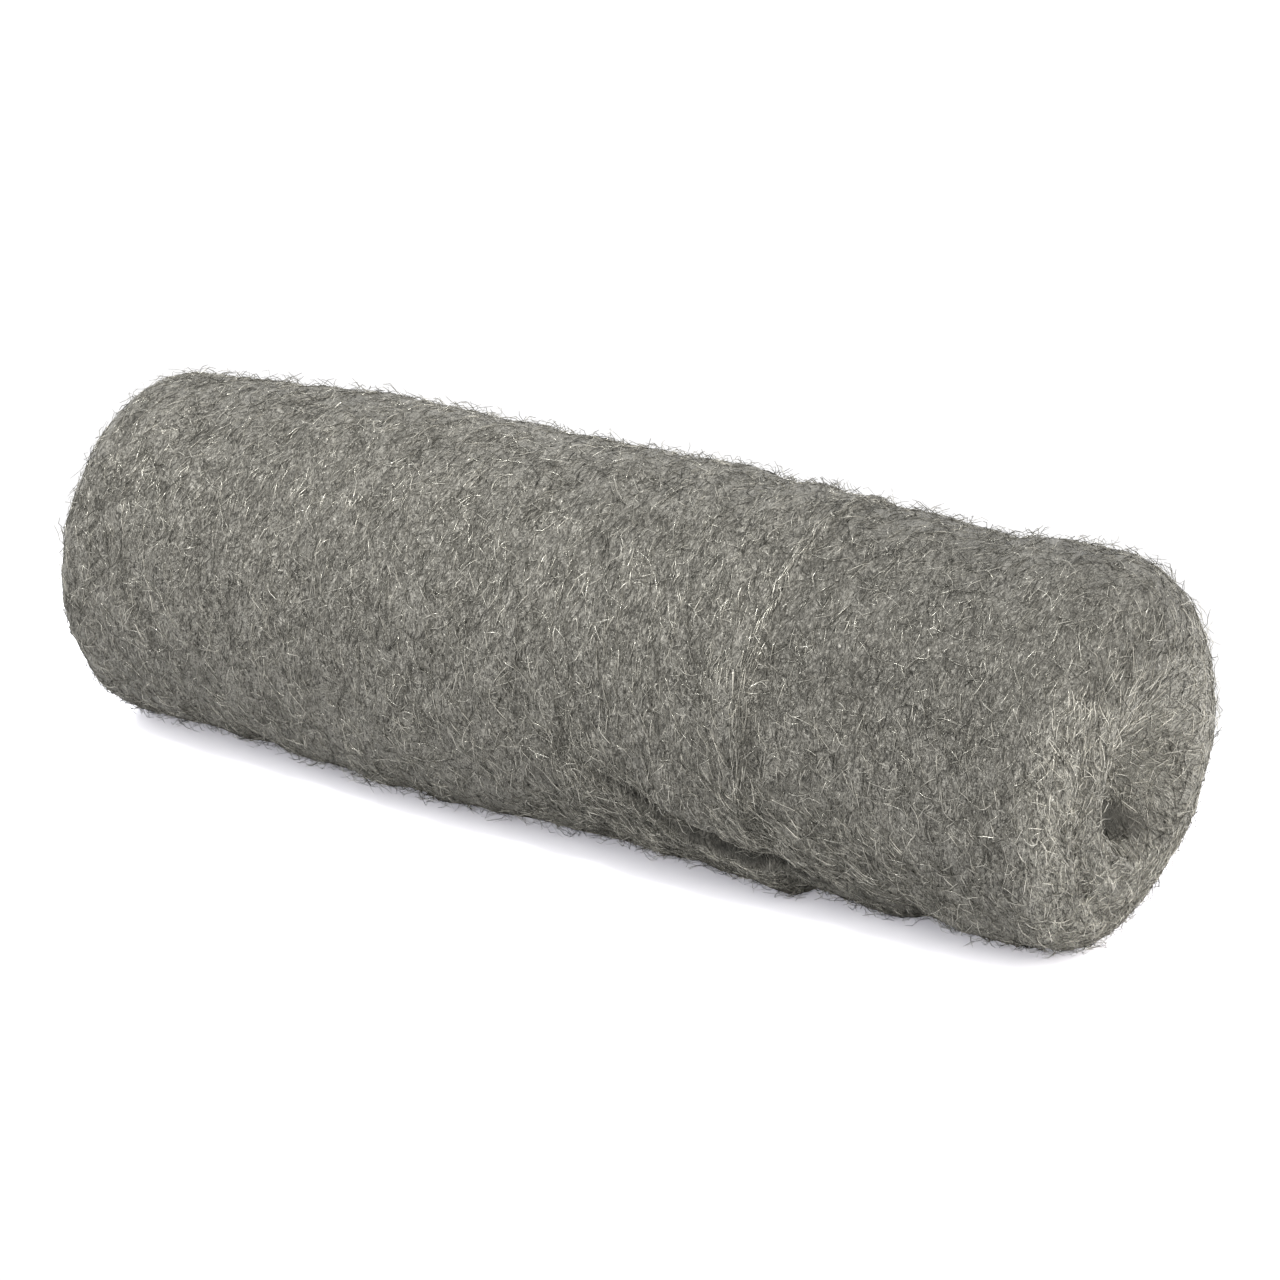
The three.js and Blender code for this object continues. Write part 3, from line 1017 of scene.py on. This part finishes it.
@dataclass(frozen=True)
class FloorFinish:
    """A plain white floor that keeps the roll's shadow: lifted beside the roll by a painted glow that
    lightens the shadow, and just white beyond.
    """

    name: str = "white_floor"
    plain: Colour = (0.62, 0.62, 0.63)
    beside: Colour = (2.50, 2.50, 2.63)
    lift: Colour = (0.155, 0.155, 0.18)
    beyond: Colour = (0.70, 0.70, 0.71)
    half_length: float = 0.110
    reach: tuple[float, float] = (0.030, 0.105)

    def build(self) -> bpy.types.Material:
        """Makes the material.

        Formula: diffuse rays see the plain white, and reflections the white beyond. The camera sees two
        whites, mixed by a smooth step of the distance from the roll's own length of the X axis. Beside the
        roll the camera's white has a painted glow, which lightens the roll's shadow.

        Returns:
            The material.
        """
        shader = Shader(bpy.data.materials.new(self.name))
        camera, glossy, clear = shader.ray_kinds()
        spot = shader.add("ShaderNodeTexCoord", output="Object")
        x, y = shader.parts(spot)[:2]
        past_end = (shader.math("ABSOLUTE", x) - self.half_length).larger(0.0)
        distance = shader.math("SQRT", past_end * past_end + y * y)
        far = shader.add("ShaderNodeMapRange", {"interpolation_type": "SMOOTHSTEP"}, {
            "Value": distance, "From Min": self.reach[0], "From Max": self.reach[1]})
        plain = shader.add("ShaderNodeBsdfDiffuse", None, {"Color": (*self.plain, 1.0)})
        beside = shader.add("ShaderNodeBsdfDiffuse", None, {"Color": (*self.beside, 1.0)})
        # painted light: a glow beside the roll that lightens its shadow
        glow = shader.add("ShaderNodeEmission", None, {"Color": (*self.lift, 1.0), "Strength": 1.0})
        lifted = shader.add("ShaderNodeAddShader", None, {0: beside, 1: glow})
        beyond = shader.add("ShaderNodeBsdfDiffuse", None, {"Color": (*self.beyond, 1.0)})
        seen = shader.add("ShaderNodeMixShader", None, {0: far, 1: lifted, 2: beyond})
        other = shader.add("ShaderNodeMixShader", None, {0: glossy.larger(clear), 1: plain, 2: beyond})
        return shader.finish(shader.add("ShaderNodeMixShader", None, {0: camera, 1: other, 2: seen}))


@dataclass(frozen=True)
class Sun:
    """An even lamp: where it stands and how far it spans in the sky, in degrees, its power and colour."""

    name: str
    azimuth: float
    elevation: float
    spread: float
    power: float
    colour: Colour


@dataclass
class Studio:
    """The white surroundings: floor, world, soft lamps and the camera."""

    floor_half: float = 3.0
    azimuth: float = 30.0
    elevation: float = 25.0
    distance: float = 0.758
    lens: float = 105.1
    aim: tuple[float, float, float] = (0.0049, 0.0, 0.0385)
    horizon_strength: float = 0.38
    overhead_strength: float = 1.15
    suns: tuple[Sun, ...] = (
        Sun("key", -38.0, 63.0, 14.0, 1.66, (1.0, 1.0, 0.99)),
        Sun("fill", 80.0, 14.0, 80.0, 1.577, (1.0, 0.95, 0.88)))

    def _direction(self, azimuth: float, elevation: float) -> Vector:
        """The unit direction from the roll towards a viewer: azimuth 0 stands on the -Y side."""
        a, e = np.radians(azimuth), np.radians(elevation)
        return Vector((np.sin(a) * np.cos(e), -np.cos(a) * np.cos(e), np.sin(e)))

    def add_camera(self) -> None:
        """Stands the camera at the photo's angle, level and aimed at the middle of its frame."""
        camera = bpy.data.cameras.new("photo_camera")
        camera.lens, camera.sensor_width = self.lens, 36.0
        camera.clip_start, camera.clip_end = 0.01, 50.0
        back = self._direction(self.azimuth, self.elevation)
        right = Vector((0, 0, 1)).cross(back).normalized()
        up = back.cross(right)
        turn = Matrix((right, up, back)).transposed().to_4x4()
        obj = bpy.data.objects.new("photo_camera", camera)
        obj.matrix_world = Matrix.Translation(Vector(self.aim) + back * self.distance) @ turn
        bpy.context.scene.collection.objects.link(obj)
        bpy.context.scene.camera = obj

    def add_sun(self, sun: Sun) -> None:
        """Adds one lamp."""
        lamp = bpy.data.lights.new(sun.name, "SUN")
        lamp.energy, lamp.angle, lamp.color = sun.power, float(np.radians(sun.spread)), sun.colour
        obj = bpy.data.objects.new(sun.name, lamp)
        toward = self._direction(sun.azimuth, sun.elevation)
        obj.rotation_euler = toward.to_track_quat("Z", "Y").to_euler()
        bpy.context.scene.collection.objects.link(obj)

    def add_world(self) -> None:
        """Adds a white world, brighter overhead than at the horizon.

        The camera, reflections and transmissions see it full white.
        """
        shader = Shader(bpy.data.worlds.new("white_room"))
        direction = shader.add("ShaderNodeTexCoord", output="Generated")
        sky = shader.add("ShaderNodeMapRange", None, {
            "Value": shader.parts(direction)[2], "To Min": self.horizon_strength,
            "To Max": self.overhead_strength})
        camera, glossy, clear = shader.ray_kinds()
        strength = shader.add("ShaderNodeMapRange", None, {
            "Value": camera.larger(glossy).larger(clear), "To Min": sky, "To Max": 1.0})
        background = shader.add("ShaderNodeBackground", None, {
            "Color": (1.0, 1.0, 1.0, 1.0), "Strength": strength})
        bpy.context.scene.world = shader.finish(background)

    def add_floor(self) -> None:
        """Lays the floor on the ground plane and marks it as stage."""
        half = self.floor_half
        mesh = bpy.data.meshes.new("floor")
        corners = [(-half, -half, 0), (half, -half, 0), (half, half, 0), (-half, half, 0)]
        mesh.from_pydata(corners, [], [(0, 1, 2, 3)])
        mesh.materials.append(FloorFinish().build())
        obj = bpy.data.objects.new("floor", mesh)
        bpy.context.scene.collection.objects.link(obj)
        obj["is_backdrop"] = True

    def build(self) -> None:
        """Sets the whole studio up."""
        self.add_camera()
        self.add_world()
        self.add_floor()
        for sun in self.suns:
            self.add_sun(sun)
        view = bpy.context.scene.view_settings
        view.view_transform = "Standard"


def dress(piece: bpy.types.Object, material: bpy.types.Material) -> None:
    """Gives a piece its material and its body, and reports it."""
    piece.data.materials.append(material)
    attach(piece, "root")
    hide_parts(ROLL_NODE)
    triangles = sum(len(p.vertices) - 2 for p in piece.data.polygons)
    LOG.info("%s: %d triangles", piece.name, triangles)


def fibre_batches(form: RollForm) -> tuple[Strands, ...]:
    """The five batches of fibres.

    Most fibres lie evenly all over. Smaller patches thicken the loose end's flap, the wool over and
    beside the crease, the web's side edge and the hollow.

    Args:
        form: the roll's form.

    Returns:
        The batches, each one a piece.
    """
    edge = form.side_station(form.side_edge_x)
    loose = form.side_station(form.side_edge_x - form.loose_end_length)
    flap = Patch(700, heading=20, spread=60, bend=24, near=loose, far=edge, last_turn=32)
    over_crease = Patch(260, heading=15, spread=35, bend=24, near=loose, far=edge - 0.1,
                        first_turn=350, last_turn=370)
    beside_crease = Patch(560, heading=42, spread=18, bend=8, near=edge - 0.03, far=edge + 0.16,
                          first_turn=330, last_turn=358)
    side_edge = Patch(650, spread=4, bend=2, near=edge - 0.012, far=edge + 0.002)
    hollow = Patch(1200, heading=42, spread=26, bend=10, near=2.35, far=2.95)
    return (
        Strands("wound_fibres_a", Habit.LAID, (Patch(8300, spread=17, bend=8), side_edge, beside_crease),
                steps=4, step=2.2, width=0.18, rise=0.55, seed=21),
        Strands("wound_fibres_b", Habit.LAID, (Patch(7900, spread=28, bend=11), hollow),
                steps=4, step=2.0, width=0.17, rise=0.75, seed=22),
        Strands("curled_fibres", Habit.LAID, (Patch(3700, spread=45, bend=20), flap, over_crease),
                steps=6, step=1.6, width=0.15, rise=0.8, seed=23),
        Strands("stray_fibres_a", Habit.STRAY, (Patch(9500, spread=36, bend=16),),
                steps=4, step=1.1, width=0.14, rise=1.7, seed=24),
        Strands("stray_fibres_b", Habit.STRAY, (Patch(9000, spread=42, bend=18),),
                steps=4, step=1.4, width=0.13, rise=2.6, seed=25),
    )


def main() -> None:
    """Builds the studio and the roll, centred on the frame's box."""
    logging.basicConfig(level=logging.INFO, format="%(name)s %(message)s")
    cad_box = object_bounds()
    Studio().build()
    form = RollForm()
    skin = RollSkin(form, Tufts(), PaintedShadeMap(), cad_box)
    axis_height = (form.middle_radius - form.rest_flat_depth) * MM
    dress(WoolBody(skin).build(), WoolFinish().build(axis_height))
    fibre = FibreFinish().build()
    for batch in fibre_batches(form):
        dress(batch.build(skin), fibre)


if __name__ == "__main__":
    main()
